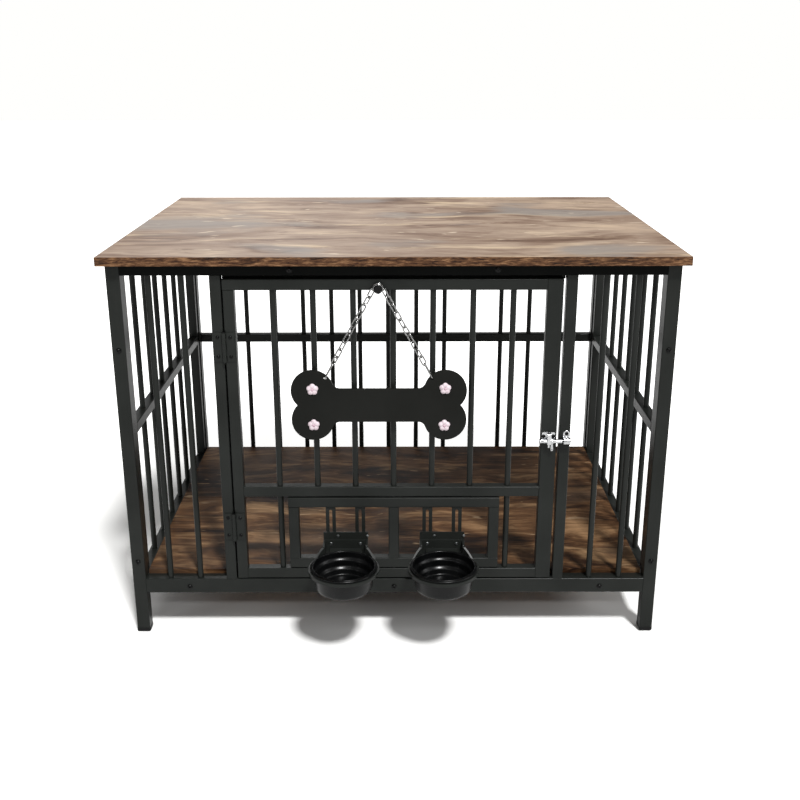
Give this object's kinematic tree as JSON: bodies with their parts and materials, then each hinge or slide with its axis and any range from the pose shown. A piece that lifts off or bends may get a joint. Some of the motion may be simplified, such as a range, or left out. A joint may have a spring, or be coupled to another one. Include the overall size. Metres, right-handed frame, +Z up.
{
  "type": "dog crate end table",
  "caption": "Steel bar cage with a wood top and floor, a hinged door with a turning feeder flap and two bowls, a slide latch and a hanging bone sign.",
  "frame": {"origin": "on the floor, under the middle of the box round the whole object", "axes": "+X to the right of someone facing the door, +Y from the front to the back, +Z up"},
  "size_m": [1.04, 0.9004, 0.75],
  "materials": {
    "rustic_wood": "matt brown wood-grain laminate with darker blotches",
    "wood_edge": "matt brown wood-grain edge banding",
    "black_steel": "satin black powder coat",
    "black_hardware": "semi-gloss black oxide",
    "zinc_hardware": "zinc-plated steel",
    "chrome": "bright chrome plate",
    "black_plastic": "matt black moulded plastic",
    "bowl_plastic": "semi-gloss black moulded plastic",
    "sign_board": "matt black painted board",
    "pink_plastic": "pale pink moulded plastic"
  },
  "bodies": {
    "crate": {"tabletop_panel": "rustic_wood", "tabletop_edge_band": "wood_edge", "tabletop_screws": "zinc_hardware", "leg_front_left": "black_steel", "leg_front_right": "black_steel", "leg_back_left": "black_steel", "leg_back_right": "black_steel", "foot_caps": "black_plastic", "front_top_rail": "black_steel", "front_bottom_rail": "black_steel", "door_post_left": "black_steel", "door_post_right": "black_steel", "door_stops": "black_steel", "front_left_bars": "black_steel", "front_right_bars": "black_steel", "back_top_rail": "black_steel", "back_mid_rail": "black_steel", "back_bottom_rail": "black_steel", "back_bars": "black_steel", "left_panel_posts": "black_steel", "left_panel_rails": "black_steel", "left_panel_bars": "black_steel", "right_panel_posts": "black_steel", "right_panel_rails": "black_steel", "right_panel_bars": "black_steel", "top_cross_bars": "black_steel", "floor_cross_bars": "black_steel", "floor_panel": "rustic_wood", "frame_bolts": "black_hardware", "frame_nuts": "zinc_hardware", "hinge_post_leaves": "black_hardware", "hinge_pins": "black_hardware", "latch_keeper": "chrome", "post_screws": "black_hardware"},
    "door": {"door_left_stile": "black_steel", "door_right_stile": "black_steel", "door_top_rail": "black_steel", "door_mid_rail": "black_steel", "door_bottom_rail": "black_steel", "door_bars": "black_steel", "chain_peg": "black_steel", "flap_pins": "black_hardware", "hinge_door_leaves": "black_hardware", "latch_base": "chrome", "door_screws": "black_hardware"},
    "feeder_flap": {"flap_top_rail": "black_steel", "flap_bottom_rail": "black_steel", "flap_uprights": "black_steel", "hanger_straps": "black_steel"},
    "left_bracket": {"left_bowl_bracket": "black_steel", "left_bracket_hardware": "black_hardware"},
    "right_bracket": {"right_bowl_bracket": "black_steel", "right_bracket_hardware": "black_hardware"},
    "left_bowl": {"left_bowl": "bowl_plastic"},
    "right_bowl": {"right_bowl": "bowl_plastic"},
    "latch_bolt": {"latch_bolt": "chrome"},
    "latch_handle": {"latch_handle": "chrome"},
    "sign": {"bone_sign": "sign_board", "sign_chain": "chrome", "flower_knobs": "pink_plastic"}
  },
  "joints": [
    {"name": "door_hinge", "type": "hinge", "parent": "crate", "child": "door", "pos_m": [-0.30475, -0.30645, 0.2293], "axis": [0, 0, -1], "range_deg": [0, 120]},
    {"name": "feeder_swivel", "type": "hinge", "parent": "door", "child": "feeder_flap", "pos_m": [-0.00125, -0.29225, 0.141], "axis": [0, 0, 1], "continuous": true},
    {"name": "left_bracket_slide", "type": "slide", "parent": "feeder_flap", "child": "left_bracket", "axis": [0, 0, 1], "range_m": [0, 0.04]},
    {"name": "right_bracket_slide", "type": "slide", "parent": "feeder_flap", "child": "right_bracket", "axis": [0, 0, 1], "range_m": [0, 0.04]},
    {"name": "left_bowl_lift", "type": "slide", "parent": "left_bracket", "child": "left_bowl", "axis": [0, 0, 1], "range_m": [0, 0.06]},
    {"name": "right_bowl_lift", "type": "slide", "parent": "right_bracket", "child": "right_bowl", "axis": [0, 0, 1], "range_m": [0, 0.06]},
    {"name": "latch_slide", "type": "slide", "parent": "door", "child": "latch_bolt", "axis": [1, 0, 0], "range_m": [0, 0.012]},
    {"name": "latch_handle_turn", "type": "hinge", "parent": "latch_bolt", "child": "latch_handle", "pos_m": [0.2893, -0.30985, 0.4045], "axis": [-1, 0, 0], "range_deg": [0, 110]},
    {"name": "sign_swing", "type": "hinge", "parent": "door", "child": "sign", "pos_m": [-0.0275, -0.31125, 0.692], "axis": [0, 1, 0], "range_deg": [-12, 12]}
  ]
}
